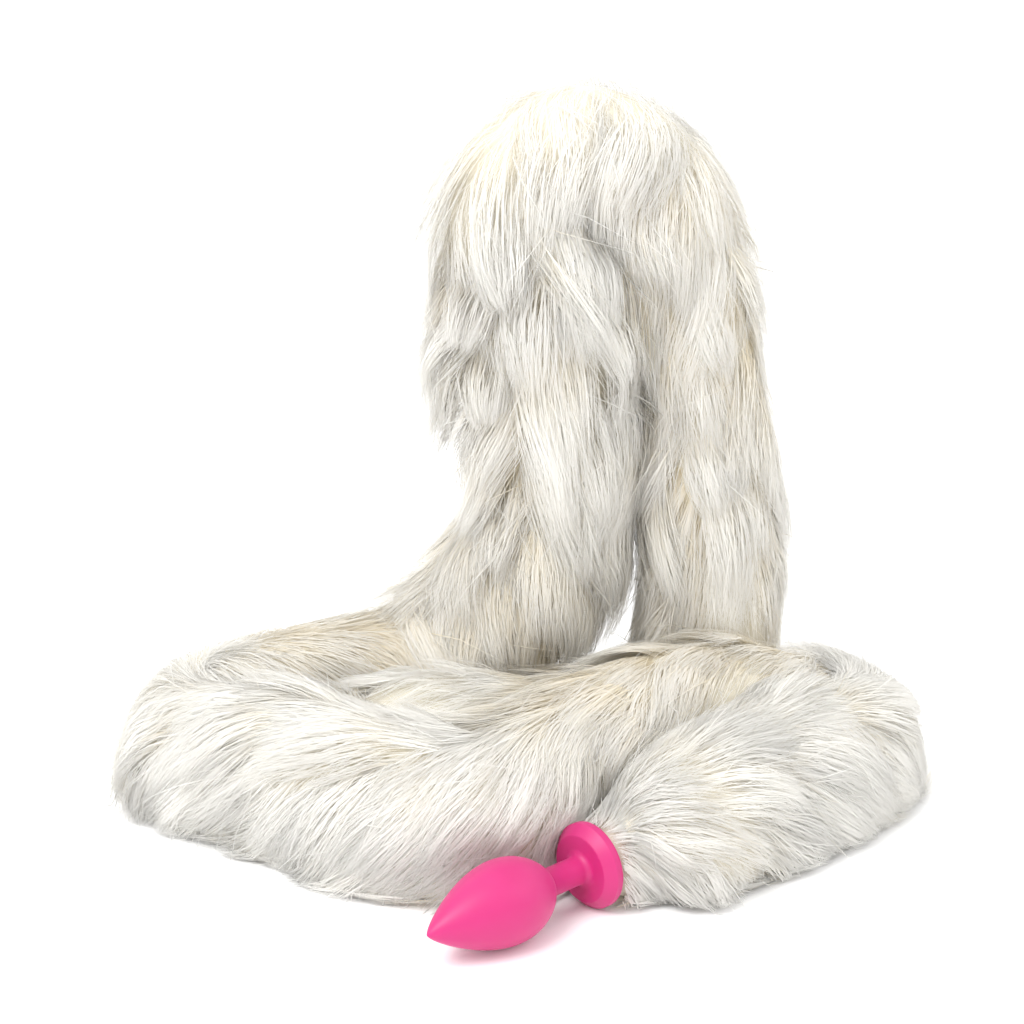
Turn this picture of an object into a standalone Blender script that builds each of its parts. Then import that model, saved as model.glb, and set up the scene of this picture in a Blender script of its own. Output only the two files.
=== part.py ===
"""A dog tail plug: a one-piece silicone plug with a round flange, and a long faux-fur tail.

The tail leaves the flange, runs right along the floor, folds back, goes left round the front
of the heap, folds again, rises as the left leg of an arch, comes down as the right leg and
ends lying behind the front. Metres, +Z up. The origin is under the middle of the whole thing.
"""

import math
from collections import namedtuple

import bmesh
import bpy
import numpy as np
from mathutils import Matrix, Vector

# Plug: the bulb, the neck and the flange are one piece of silicone
BULB_DIAMETER = 0.0275
BULB_LENGTH = 0.0485
BULB_WIDEST = 0.62  # share of the bulb's length, from the tip
BULB_BLUNT = 0.52  # under 1 rounds the tip and squares the shoulder at the neck
NECK_DIAMETER = 0.0094
NECK_LENGTH = 0.0148
NECK_FILLET = 0.0022
FLANGE_DIAMETER = 0.0288
FLANGE_FRONT_DIAMETER = 0.0236
FLANGE_THICKNESS = 0.0060
FLANGE_BEVEL = 0.0030
FLANGE_EDGE = 0.0007

# Where the plug lies, as the flange's back centre, and which way it points
PLUG_ACROSS = 0.0265
PLUG_BACK = -0.0905
PLUG_HEADING = math.radians(41.0)  # from the tip to the flange, turned from +X towards +Y

# Post: hidden, between the flange and the tail's backing
POST_DIAMETER = 0.0060
POST_IN_FLANGE = 0.0038
POST_IN_TAIL = 0.0110
CLEARANCE = 0.0003

# Tail: the centreline's reach and the fur's girth
LOOP_WIDTH = 0.2800
LOOP_DEPTH = 0.1250
ARCH_HEIGHT = 0.2240
FUR_RADIUS = 0.0300
BACKING_SHARE = 0.80  # of the fur's radius, where the locks start
RING_PITCH = 0.0080

# Locks: the fur's outer form, each a tapered curl that leans along the fur's lie
LOCK_PITCH = 0.0230
LOCKS_AROUND = 7
LOCK_LENGTH = 0.0360
LOCK_WIDTH = 0.0088
LOCK_SINK = 0.30  # share of the backing's radius that a lock's foot is sunk
LOCK_SPREAD = 0.22  # how far lengths and lifts differ from lock to lock
DROOP = 0.55  # pull of weight on the fur, beside a comb of 1
LEAST_PULL = 0.05  # a lock with less than this to lay it down is left out
SEED = 11

# Fusing: the backing and the locks become one skin
FUSE_VOXEL = FUR_RADIUS / 12
KEPT_TRIANGLES = 8600
FLAT_TRIM = 0.0008  # the skin is trimmed this far above where the fur is pressed flat

# Each station of the centreline, from the root to the tip. across is a share of LOOP_WIDTH,
# back of LOOP_DEPTH and up of ARCH_HEIGHT; lie and girth are shares of FUR_RADIUS, and lie is
# added to up. comb is the pull of the fur along the tail, 0 where its weight turns it over.
Station = namedtuple("Station", "name across back up lie girth comb")
STATIONS = (
    Station("front right, start", 0.200, -0.590, 0.00, 0.74, 0.90, 1.0),
    Station("front right", 0.290, -0.376, 0.00, 0.76, 0.96, 1.0),
    Station("front right, end", 0.374, -0.208, 0.00, 0.76, 0.96, 1.0),
    Station("right fold, in", 0.438, -0.080, 0.00, 0.74, 0.92, 1.0),
    Station("right fold", 0.464, 0.048, 0.00, 0.72, 0.84, 1.0),
    Station("right fold, out", 0.422, 0.152, 0.00, 0.74, 0.84, 1.0),
    Station("rear right, start", 0.345, 0.100, 0.00, 0.86, 0.86, 1.0),
    Station("rear right", 0.261, -0.016, 0.00, 1.06, 0.90, 1.0),
    Station("rear right, crest", 0.164, -0.152, 0.00, 1.10, 0.92, 1.0),
    Station("rear right, end", 0.064, -0.304, 0.00, 0.92, 0.92, 1.0),
    Station("front point", -0.036, -0.528, 0.00, 0.72, 1.02, 1.0),
    Station("front left, start", -0.136, -0.500, 0.00, 0.76, 1.04, 1.0),
    Station("front left", -0.229, -0.340, 0.00, 0.78, 1.04, 1.0),
    Station("front left, end", -0.318, -0.216, 0.00, 0.76, 0.98, 1.0),
    Station("left fold, in", -0.386, -0.108, 0.00, 0.72, 0.90, 1.0),
    Station("left fold", -0.426, 0.000, 0.00, 0.74, 0.84, 1.0),
    Station("left fold, out", -0.396, 0.104, 0.00, 0.80, 0.88, 1.0),
    Station("back left, start", -0.307, 0.176, 0.00, 0.84, 0.98, 0.9),
    Station("back left", -0.196, 0.240, 0.00, 0.92, 1.02, 0.7),
    Station("left leg, foot", -0.082, 0.304, 0.06, 0.88, 1.04, 0.4),
    Station("left leg, ankle", 0.014, 0.320, 0.18, 0.90, 1.02, 0.1),
    Station("left leg, low", 0.058, 0.320, 0.45, 0.00, 1.00, 0.0),
    Station("left leg, middle", 0.046, 0.320, 0.63, 0.00, 1.12, 0.0),
    Station("left leg, high", 0.036, 0.320, 0.83, 0.00, 1.18, 0.0),
    Station("arch, left", 0.030, 0.312, 0.95, 0.00, 1.16, 0.0),
    Station("arch, top", 0.078, 0.304, 1.01, 0.00, 1.08, 0.0),
    Station("arch, right", 0.163, 0.304, 0.97, 0.00, 0.98, 0.1),
    Station("right leg, high", 0.230, 0.304, 0.83, 0.00, 0.78, 0.9),
    Station("right leg, middle", 0.250, 0.304, 0.64, 0.00, 0.76, 1.0),
    Station("right leg, low", 0.264, 0.304, 0.44, 0.00, 0.90, 1.0),
    Station("right leg, ankle", 0.271, 0.304, 0.15, 0.84, 0.90, 1.0),
    Station("right leg, foot", 0.254, 0.288, 0.00, 0.96, 0.86, 1.0),
    Station("tip, start", 0.179, 0.184, 0.00, 0.68, 0.82, 1.0),
    Station("tip, behind the crest", 0.071, 0.040, 0.00, 0.66, 0.80, 1.0),
    Station("tip, middle", -0.036, -0.072, 0.00, 0.82, 0.80, 1.0),
    Station("tip, lump", -0.136, -0.144, 0.00, 1.04, 0.76, 1.0),
    Station("tip, end", -0.214, -0.184, 0.00, 1.10, 0.44, 1.0),
)


def clear_scene():
    """Removes whatever the scene holds, so that the script can run again."""
    for obj in list(bpy.data.objects):
        bpy.data.objects.remove(obj, do_unlink=True)


def new_collection(name, is_helper):
    """A collection under the scene; a helper's objects stay out of renders."""
    collection = bpy.data.collections.new(name)
    collection.hide_render = is_helper
    bpy.context.scene.collection.children.link(collection)
    return collection


def new_material(name, colour, roughness, metallic):
    """A Principled material of one colour."""
    material = bpy.data.materials.new(name)
    material.use_nodes = True
    shader = material.node_tree.nodes["Principled BSDF"]
    shader.inputs["Base Color"].default_value = (*colour, 1.0)
    shader.inputs["Roughness"].default_value = roughness
    shader.inputs["Metallic"].default_value = metallic
    material.diffuse_color = (*colour, 1.0)
    return material


def new_object(name, mesh, collection, material=None):
    """An object for the mesh, in its collection, with its material."""
    obj = bpy.data.objects.new(name, mesh)
    collection.objects.link(obj)
    if material:
        mesh.materials.append(material)
    return obj


def new_cylinder(name, radius, length, collection, material=None, sides=32):
    """A cylinder that stands on its own origin, along +Z."""
    shape = bmesh.new()
    bmesh.ops.create_cone(
        shape, cap_ends=True, segments=sides, radius1=radius, radius2=radius, depth=length
    )
    bmesh.ops.translate(shape, vec=(0.0, 0.0, length / 2), verts=shape.verts)
    mesh = bpy.data.meshes.new(name)
    shape.to_mesh(mesh)
    shape.free()
    return new_object(name, mesh, collection, material)


def new_cutter(obj):
    """Marks an object as a helper that only cuts others."""
    obj.hide_render = True
    obj.display_type = "WIRE"
    return obj


def cut(obj, cutter, name):
    """Takes the cutter's shape out of the object."""
    modifier = obj.modifiers.new(name, "BOOLEAN")
    modifier.operation = "DIFFERENCE"
    modifier.solver = "EXACT"
    modifier.object = cutter


def bulb_outline(points=22):
    """(radius, height) pairs from the tip down to the neck.

    The radius is a half sine wave over a power of the way down, raised to BULB_BLUNT. The power
    puts the widest place at BULB_WIDEST, and the outline ends where the radius meets the neck's.
    """
    power = math.log(0.5) / math.log(BULB_WIDEST)
    at_neck = math.asin((NECK_DIAMETER / BULB_DIAMETER) ** (1 / BULB_BLUNT))
    end = ((math.pi - at_neck) / math.pi) ** (1 / power)
    way = end * (1 - np.cos(np.linspace(0, math.pi, points))) / 2
    radius = BULB_DIAMETER / 2 * np.sin(math.pi * way**power) ** BULB_BLUNT
    return list(zip(radius, plug_length() - BULB_LENGTH * way / end))


def plug_length():
    """From the flange's back to the bulb's tip."""
    return BULB_LENGTH + NECK_LENGTH + FLANGE_THICKNESS


def arc(centre, radius, first, last, points=4):
    """Points on an arc in the profile's plane, between two angles in degrees."""
    angles = np.radians(np.linspace(first, last, points))
    return [(centre[0] + radius * math.cos(a), centre[1] + radius * math.sin(a)) for a in angles]


def plug_outline():
    """(radius, height) pairs down the plug's outer side, and up into the post's socket."""
    neck = NECK_DIAMETER / 2
    rim = FLANGE_DIAMETER / 2
    front = FLANGE_THICKNESS
    socket = POST_DIAMETER / 2 + CLEARANCE
    depth = POST_IN_FLANGE + CLEARANCE
    outline = bulb_outline()
    outline += arc((neck + NECK_FILLET, front + NECK_FILLET), NECK_FILLET, 180, 270)
    outline += [(FLANGE_FRONT_DIAMETER / 2, front)]
    outline += [(rim, front - FLANGE_BEVEL)]
    outline += arc((rim - FLANGE_EDGE, FLANGE_EDGE), FLANGE_EDGE, 0, -90)
    outline += [(socket, 0.0), (socket, depth), (0.0, depth)]
    return outline


def turned(name, outline, collection, material, steps=32):
    """An object turned round +Z from an outline that runs down its outer side."""
    shape = bmesh.new()
    verts = [shape.verts.new((radius, 0.0, height)) for radius, height in outline]
    for upper, lower in zip(verts, verts[1:]):
        shape.edges.new((upper, lower))
    mesh = bpy.data.meshes.new(name)
    shape.to_mesh(mesh)
    shape.free()
    obj = new_object(name, mesh, collection, material)
    screw = obj.modifiers.new("turn", "SCREW")
    screw.steps = steps
    screw.render_steps = steps
    screw.use_merge_vertices = True
    screw.merge_threshold = 0.00005
    screw.use_smooth_shade = True
    return obj


def plug_matrix():
    """From the plug's own frame, +Z towards its tip, to the floor where flange and bulb rest."""
    bulb_widest = plug_length() - BULB_LENGTH * BULB_WIDEST
    tilt = math.asin((FLANGE_DIAMETER - BULB_DIAMETER) / 2 / bulb_widest)
    towards_tip = Vector(
        (
            -math.cos(PLUG_HEADING) * math.cos(tilt),
            -math.sin(PLUG_HEADING) * math.cos(tilt),
            -math.sin(tilt),
        )
    )
    turn = towards_tip.to_track_quat("Z", "Y").to_matrix().to_4x4()
    # The rim's lowest point is this far under the flange's back centre.
    height = FLANGE_DIAMETER / 2 * math.cos(tilt) + FLANGE_THICKNESS * math.sin(tilt)
    return Matrix.Translation((PLUG_ACROSS, PLUG_BACK, height)) @ turn


def build_plug(collection):
    """The bulb, the neck and the flange, turned as one piece."""
    material = new_material("silicone_pink", (0.83, 0.055, 0.20), 0.42, 0.0)
    plug = turned("plug", plug_outline(), collection, material)
    plug.matrix_world = plug_matrix()
    return plug


def build_post(collection):
    """The hidden post, in the flange's socket and the tail's."""
    material = new_material("post_steel", (0.55, 0.55, 0.56), 0.35, 1.0)
    length = POST_IN_FLANGE + POST_IN_TAIL
    post = new_cylinder("root_post", POST_DIAMETER / 2, length, collection, material, 24)
    post.matrix_world = plug_matrix() @ Matrix.Translation((0.0, 0.0, -POST_IN_TAIL))
    return post


def station_values():
    """Rows of x, y, z, fur radius and comb in metres, with the root tied to the flange."""
    sizes = [
        (
            row.across * LOOP_WIDTH,
            row.back * LOOP_DEPTH,
            row.up * ARCH_HEIGHT + row.lie * FUR_RADIUS,
            row.girth * FUR_RADIUS,
            row.comb,
        )
        for row in STATIONS
    ]
    flange = plug_matrix()
    girth = FLANGE_DIAMETER / 2 * 1.05
    ahead = flange @ Vector((0.0, 0.0, -POST_IN_TAIL))
    root = [(*flange.translation, girth, 1.0), (*ahead, girth, 1.0)]
    return np.array(root + sizes)


def smooth_path():
    """The centreline through the stations, as rows of x, y, z, radius and comb RING_PITCH apart.

    Between two stations it is a Catmull-Rom curve, a cubic whose slope at each station is half
    the step between that station's neighbours.
    """
    rows = station_values()
    padded = np.vstack([2 * rows[0] - rows[1], rows, 2 * rows[-1] - rows[-2]])
    before, first, last, after = padded[:-3], padded[1:-2], padded[2:-1], padded[3:]
    t = np.linspace(0, 1, 24, endpoint=False)[None, :, None]
    start, end = first[:, None], last[:, None]
    slope_in, slope_out = (last - before)[:, None] / 2, (after - first)[:, None] / 2
    curve = (
        (2 * t**3 - 3 * t**2 + 1) * start
        + (t**3 - 2 * t**2 + t) * slope_in
        + (3 * t**2 - 2 * t**3) * end
        + (t**3 - t**2) * slope_out
    )
    curve = np.vstack([curve.reshape(-1, rows.shape[1]), rows[-1]])
    way = np.concatenate([[0], np.cumsum(np.linalg.norm(np.diff(curve[:, :3], axis=0), axis=1))])
    even = np.linspace(0, way[-1], round(way[-1] / RING_PITCH))
    return np.stack([np.interp(even, way, column) for column in curve.T], axis=1)


def path_frames(path):
    """The tangent and two cross directions at each ring, carried along without twisting."""
    tangents = np.gradient(path[:, :3], axis=0)
    tangents /= np.linalg.norm(tangents, axis=1, keepdims=True)
    side = np.cross(tangents[0], (0.0, 0.0, 1.0))
    sides = []
    for tangent in tangents:
        side = side - tangent * side.dot(tangent)
        side /= np.linalg.norm(side)
        sides.append(side)
    sides = np.array(sides)
    return tangents, sides, np.cross(sides, tangents)


def add_spline(curve, points, radii):
    """One straight-segment spline with a radius at each point."""
    spline = curve.splines.new("POLY")
    spline.points.add(len(points) - 1)
    for slot, point, radius in zip(spline.points, points, radii):
        slot.co = (*point, 1.0)
        slot.radius = radius


def lock_points(centre, out, lie, radius, length, lift):
    """Points of one lock: its foot is sunk in the backing, and its tip lifts to the fur's edge."""
    foot = radius * BACKING_SHARE * (1 - LOCK_SINK)
    edge = radius * lift
    way = np.linspace(0, 1, 5)
    height = foot + (edge - foot) * np.sin(way * math.pi / 2)
    return centre + out * height[:, None] + lie * (length * way)[:, None]


def tail_curve():
    """The backing and the locks as splines of one bevelled curve."""
    rng = np.random.default_rng(SEED)
    path = smooth_path()
    tangents, sides, ups = path_frames(path)
    curve = bpy.data.curves.new("fur_tail", "CURVE")
    curve.dimensions = "3D"
    curve.use_fill_caps = True
    curve.bevel_depth = LOCK_WIDTH
    curve.bevel_resolution = 2
    add_spline(curve, path[:, :3], path[:, 3] * BACKING_SHARE / LOCK_WIDTH)
    taper = np.array([0.85, 1.0, 0.85, 0.5, 0.12])
    rows = max(1, round(LOCK_PITCH / RING_PITCH))
    for row, ring in enumerate(range(1, len(path) - rows, rows)):
        centre, radius, comb = path[ring, :3], path[ring, 3], path[ring, 4]
        for place in range(LOCKS_AROUND):
            angle = 2 * math.pi * (place + 0.5 * (row % 2) + rng.uniform(-0.15, 0.15)) / LOCKS_AROUND
            out = math.cos(angle) * sides[ring] + math.sin(angle) * ups[ring]
            lie = comb * tangents[ring] + DROOP * np.array((0.0, 0.0, -1.0))
            lie = lie - out * lie.dot(out)
            strength = np.linalg.norm(lie)
            if strength < LEAST_PULL:
                continue
            share = radius / FUR_RADIUS
            length = LOCK_LENGTH * share * (1 + rng.uniform(-LOCK_SPREAD, LOCK_SPREAD))
            length *= min(1.0, strength / DROOP)
            lift = 1.0 + rng.uniform(-LOCK_SPREAD, LOCK_SPREAD) / 2
            points = lock_points(centre, out, lie / strength, radius, length, lift)
            add_spline(curve, points, taper * share)
    return curve


def mesh_of(obj):
    """The object's mesh as its modifiers leave it, as a new mesh."""
    graph = bpy.context.evaluated_depsgraph_get()
    return bpy.data.meshes.new_from_object(obj.evaluated_get(graph), depsgraph=graph)


def press_flat(mesh, height):
    """Lifts every point under the height to it, as fur is pressed flat on a floor."""
    points = np.empty(len(mesh.vertices) * 3)
    mesh.vertices.foreach_get("co", points)
    points = points.reshape(-1, 3)
    points[:, 2] = np.maximum(points[:, 2], height)
    mesh.vertices.foreach_set("co", points.reshape(-1))
    mesh.update()


def keep_largest_shell(mesh):
    """Removes the closed pockets that the tail's turns shut in between them."""
    shape = bmesh.new()
    shape.from_mesh(mesh)
    left = set(shape.verts)
    shells = []
    while left:
        shell = set()
        front = [left.pop()]
        while front:
            vert = front.pop()
            shell.add(vert)
            near = {edge.other_vert(vert) for edge in vert.link_edges} & left
            left -= near
            front.extend(near)
        shells.append(shell)
    largest = max(shells, key=len)
    extra = [vert for vert in shape.verts if vert not in largest]
    bmesh.ops.delete(shape, geom=extra, context="VERTS")
    shape.to_mesh(mesh)
    shape.free()


def trim_at_floor(mesh):
    """Cuts off what lies under the floor and closes the cut, so that the fur rests flat."""
    shape = bmesh.new()
    shape.from_mesh(mesh)
    whole = shape.verts[:] + shape.edges[:] + shape.faces[:]
    bmesh.ops.bisect_plane(shape, geom=whole, plane_no=(0, 0, 1), clear_inner=True)
    rim = [edge for edge in shape.edges if edge.is_boundary]
    bmesh.ops.triangle_fill(shape, use_beauty=True, edges=rim, normal=(0, 0, -1))
    shape.to_mesh(mesh)
    shape.free()


def build_tail(collection, cutters):
    """The fur tail as one closed skin over the backing and the locks, flat where it rests."""
    source = bpy.data.objects.new("tail_source", tail_curve())
    collection.objects.link(source)
    skin = mesh_of(source)
    bpy.data.objects.remove(source, do_unlink=True)
    press_flat(skin, -FLAT_TRIM)

    blank = new_object("tail_blank", skin, collection)
    fuse = blank.modifiers.new("fuse", "REMESH")
    fuse.mode = "VOXEL"
    fuse.voxel_size = FUSE_VOXEL
    fused = mesh_of(blank)
    bpy.data.objects.remove(blank, do_unlink=True)
    keep_largest_shell(fused)

    blank = new_object("tail_blank", fused, collection)
    thin = blank.modifiers.new("thin", "DECIMATE")
    thin.ratio = min(1.0, KEPT_TRIANGLES / (2 * len(fused.polygons)))
    thin.use_collapse_triangulate = True
    thinned = mesh_of(blank)
    bpy.data.objects.remove(blank, do_unlink=True)
    trim_at_floor(thinned)

    material = new_material("fur_cream", (0.86, 0.83, 0.76), 0.9, 0.0)
    tail = new_object("fur_tail", thinned, collection, material)
    room = new_cutter(
        new_cylinder("plug_room", FLANGE_DIAMETER / 2 + 4 * CLEARANCE, 2 * plug_length(), cutters)
    )
    room.matrix_world = plug_matrix() @ Matrix.Translation((0.0, 0.0, -CLEARANCE))
    cut(tail, room, "plug room")

    socket_length = POST_IN_TAIL + 2 * CLEARANCE
    socket = new_cutter(
        new_cylinder("post_socket", POST_DIAMETER / 2 + CLEARANCE, socket_length, cutters, sides=24)
    )
    socket.matrix_world = plug_matrix() @ Matrix.Translation((0.0, 0.0, CLEARANCE - socket_length))
    cut(tail, socket, "post socket")
    return tail


def centre_on_origin(pieces, helpers, collection):
    """Hangs everything on one empty, set so that the box's bottom middle is the origin."""
    bpy.context.view_layer.update()
    graph = bpy.context.evaluated_depsgraph_get()
    corners = []
    for piece in pieces:
        evaluated = piece.evaluated_get(graph)
        corners += [evaluated.matrix_world @ vert.co for vert in evaluated.data.vertices]
    corners = np.array(corners)
    low, high = corners.min(axis=0), corners.max(axis=0)
    stand = bpy.data.objects.new("stand", None)
    collection.objects.link(stand)
    for obj in pieces + helpers:
        obj.parent = stand
    stand.location = (-(low[0] + high[0]) / 2, -(low[1] + high[1]) / 2, -low[2])


def main():
    """Builds the plug, the post and the tail."""
    clear_scene()
    parts = new_collection("dog_tail_plug", False)
    cutters = new_collection("cutters", True)
    pieces = [build_plug(parts), build_post(parts), build_tail(parts, cutters)]
    centre_on_origin(pieces, list(cutters.objects), parts)


main()
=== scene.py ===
"""A dog tail plug: a pink silicone plug and a long white faux-fur tail, laid in folds with an arch."""

import math
from collections import namedtuple

import bpy
import numpy as np
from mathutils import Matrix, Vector


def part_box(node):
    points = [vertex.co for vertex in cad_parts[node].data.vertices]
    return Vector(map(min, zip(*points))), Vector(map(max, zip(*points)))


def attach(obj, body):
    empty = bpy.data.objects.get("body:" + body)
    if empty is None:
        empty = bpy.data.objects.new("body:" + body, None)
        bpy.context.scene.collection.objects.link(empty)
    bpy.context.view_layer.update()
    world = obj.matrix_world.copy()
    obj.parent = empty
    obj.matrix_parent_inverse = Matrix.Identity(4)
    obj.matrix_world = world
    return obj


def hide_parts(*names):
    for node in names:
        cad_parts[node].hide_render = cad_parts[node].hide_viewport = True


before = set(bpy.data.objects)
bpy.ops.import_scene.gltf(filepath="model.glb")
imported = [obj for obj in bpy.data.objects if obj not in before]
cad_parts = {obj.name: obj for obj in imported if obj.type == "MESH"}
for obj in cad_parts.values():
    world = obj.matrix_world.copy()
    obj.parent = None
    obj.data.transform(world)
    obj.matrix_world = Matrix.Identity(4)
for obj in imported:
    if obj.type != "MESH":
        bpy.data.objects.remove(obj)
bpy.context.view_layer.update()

# Silicone plug. One piece of matte silicone, cast in a two-part mould: a drop-shaped bulb, a
# short neck and a round flange with a bevelled rim. It is turned here from the same outline as
# the solid that it stands for, with finer steps.
BULB_DIAMETER = 0.0275
BULB_LENGTH = 0.0485
BULB_WIDEST = 0.62
BULB_BLUNT = 0.52
NECK_DIAMETER = 0.0094
NECK_LENGTH = 0.0148
NECK_FILLET = 0.0022
FLANGE_DIAMETER = 0.0288
FLANGE_FRONT_DIAMETER = 0.0236
FLANGE_THICKNESS = 0.0060
FLANGE_BEVEL = 0.0030
FLANGE_EDGE = 0.0007
SHOULDER_EDGE = 0.0008
RIM_EDGE = 0.0006
RIM_DROP = 0.0004
PLUG_LENGTH = BULB_LENGTH + NECK_LENGTH + FLANGE_THICKNESS
PLUG_ACROSS = 0.0265
PLUG_BACK = -0.0905
PLUG_HEADING = math.radians(41.0)
POST_DIAMETER = 0.0060
POST_IN_FLANGE = 0.0038
POST_IN_TAIL = 0.0110
CLEARANCE = 0.0003

PLUG_TILT = math.asin(
    (FLANGE_DIAMETER - BULB_DIAMETER) / 2 / (PLUG_LENGTH - BULB_LENGTH * BULB_WIDEST)
)
TOWARDS_TIP = np.array(
    [
        -math.cos(PLUG_HEADING) * math.cos(PLUG_TILT),
        -math.sin(PLUG_HEADING) * math.cos(PLUG_TILT),
        -math.sin(PLUG_TILT),
    ]
)
POST_BOX = np.array(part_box("root_post"))
FLANGE_BACK = POST_BOX.mean(axis=0) + TOWARDS_TIP * (POST_IN_TAIL - POST_IN_FLANGE) / 2
# From the place where the tail's and the camera's sizes are measured to the frame's origin
SHIFT = FLANGE_BACK - np.array([PLUG_ACROSS, PLUG_BACK, FLANGE_BACK[2]])


def mesh_piece(name, points, faces):
    """A new smooth piece from an array of points and an array of triangles or quads."""
    mesh = bpy.data.meshes.new(name)
    mesh.vertices.add(len(points))
    mesh.vertices.foreach_set("co", np.asarray(points, np.float32).reshape(-1))
    mesh.loops.add(faces.size)
    mesh.loops.foreach_set("vertex_index", faces.reshape(-1).astype(np.int32))
    mesh.polygons.add(len(faces))
    mesh.polygons.foreach_set("loop_start", np.arange(0, faces.size, faces.shape[1], dtype=np.int32))
    mesh.polygons.foreach_set("use_smooth", np.full(len(faces), True))
    mesh.update(calc_edges=True)
    piece = bpy.data.objects.new(name, mesh)
    bpy.context.scene.collection.objects.link(piece)
    return piece


def new_material(name):
    """A material with its Principled shader, its nodes and its links."""
    material = bpy.data.materials.new(name)
    material.use_nodes = True
    nodes = material.node_tree.nodes
    return material, nodes["Principled BSDF"], nodes, material.node_tree.links


def arc(centre, radius, first, last, points):
    """Points on an arc in the outline's plane, between two angles in degrees."""
    angles = np.radians(np.linspace(first, last, points))
    return np.stack([centre[0] + radius * np.cos(angles), centre[1] + radius * np.sin(angles)], axis=1)


def plug_outline():
    """Rows of radius and height from the bulb's tip down to the flange's back and its socket.

    The bulb's radius is a half sine wave over a power of the way down, raised to BULB_BLUNT; the
    power puts the widest place at BULB_WIDEST. The fillet and the flange's edges are arcs.
    """
    power = math.log(0.5) / math.log(BULB_WIDEST)
    at_neck = math.asin((NECK_DIAMETER / BULB_DIAMETER) ** (1 / BULB_BLUNT))
    end = ((math.pi - at_neck) / math.pi) ** (1 / power)
    way = end * (1 - np.cos(np.linspace(0, math.pi, 90))) / 2
    radius = BULB_DIAMETER / 2 * np.sin(math.pi * way**power) ** BULB_BLUNT
    bulb = np.stack([radius, PLUG_LENGTH - BULB_LENGTH * way / end], axis=1)
    neck, rim, front = NECK_DIAMETER / 2, FLANGE_DIAMETER / 2, FLANGE_THICKNESS
    fillet = arc((neck + NECK_FILLET, front + NECK_FILLET), NECK_FILLET, 180, 270, 12)
    shoulder_middle = (FLANGE_FRONT_DIAMETER / 2 - SHOULDER_EDGE, front - SHOULDER_EDGE)
    shoulder = arc(shoulder_middle, SHOULDER_EDGE, 90, 45, 6)
    edge = arc((rim - RIM_EDGE, front - FLANGE_BEVEL - RIM_DROP), RIM_EDGE, 40, 0, 5)
    back = arc((rim - FLANGE_EDGE, FLANGE_EDGE), FLANGE_EDGE, 0, -90, 6)
    socket = POST_DIAMETER / 2 + CLEARANCE
    depth = POST_IN_FLANGE + CLEARANCE
    hole = np.array([[socket, 0.0], [socket, depth], [0.0, depth]])
    return np.vstack([bulb, fillet, shoulder, edge, back, hole])


def build_plug(sides=160):
    """Turns the outline round the plug's axis: each row of it becomes a ring of points."""
    outline = plug_outline()
    turn = np.linspace(0, 2 * math.pi, sides, endpoint=False)
    side = np.cross(TOWARDS_TIP, (0.0, 0.0, 1.0))
    side /= np.linalg.norm(side)
    up = np.cross(side, TOWARDS_TIP)
    ring = np.cos(turn)[:, None] * side + np.sin(turn)[:, None] * up
    points = (
        FLANGE_BACK + outline[:, None, :1] * ring[None] + outline[:, None, 1:] * TOWARDS_TIP
    )
    rows, row = np.arange(len(outline) - 1)[:, None], np.arange(sides)[None]
    after = (row + 1) % sides
    quads = np.stack(
        [rows * sides + row, (rows + 1) * sides + row, (rows + 1) * sides + after, rows * sides + after],
        axis=-1,
    ).reshape(-1, 4)
    return mesh_piece("plug_body", points.reshape(-1, 3), quads)


plug_body = build_plug()


def silicone_material():
    """Matte pink silicone: a faint mottle in the colour, and a skin too fine to see as bumps."""
    material, shader, nodes, links = new_material("pink_silicone")
    place = nodes.new("ShaderNodeTexCoord")
    mottle = nodes.new("ShaderNodeTexNoise")
    mottle.inputs["Scale"].default_value = 90.0
    mottle.inputs["Detail"].default_value = 3.0
    links.new(place.outputs["Object"], mottle.inputs["Vector"])
    tint = nodes.new("ShaderNodeMix")
    tint.data_type = "RGBA"
    tint.inputs["A"].default_value = (0.50, 0.014, 0.145, 1.0)
    tint.inputs["B"].default_value = (0.55, 0.018, 0.170, 1.0)
    links.new(mottle.outputs["Fac"], tint.inputs["Factor"])
    links.new(tint.outputs["Result"], shader.inputs["Base Color"])
    grain = nodes.new("ShaderNodeTexNoise")
    grain.inputs["Scale"].default_value = 2600.0
    grain.inputs["Detail"].default_value = 2.0
    links.new(place.outputs["Object"], grain.inputs["Vector"])
    skin = nodes.new("ShaderNodeBump")
    skin.inputs["Strength"].default_value = 0.12
    skin.inputs["Distance"].default_value = 0.0001
    links.new(grain.outputs["Fac"], skin.inputs["Height"])
    links.new(skin.outputs["Normal"], shader.inputs["Normal"])
    shine = nodes.new("ShaderNodeMapRange")
    shine.inputs["To Min"].default_value = 0.40
    shine.inputs["To Max"].default_value = 0.52
    links.new(mottle.outputs["Fac"], shine.inputs["Value"])
    links.new(shine.outputs["Result"], shader.inputs["Roughness"])
    shader.inputs["Subsurface Weight"].default_value = 0.15
    shader.inputs["Subsurface Radius"].default_value = (1.0, 0.25, 0.3)
    shader.inputs["Subsurface Scale"].default_value = 0.002
    shader.inputs["Sheen Weight"].default_value = 0.05
    return material


plug_body.data.materials.append(silicone_material())
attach(plug_body, "root")
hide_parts("plug")

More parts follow.
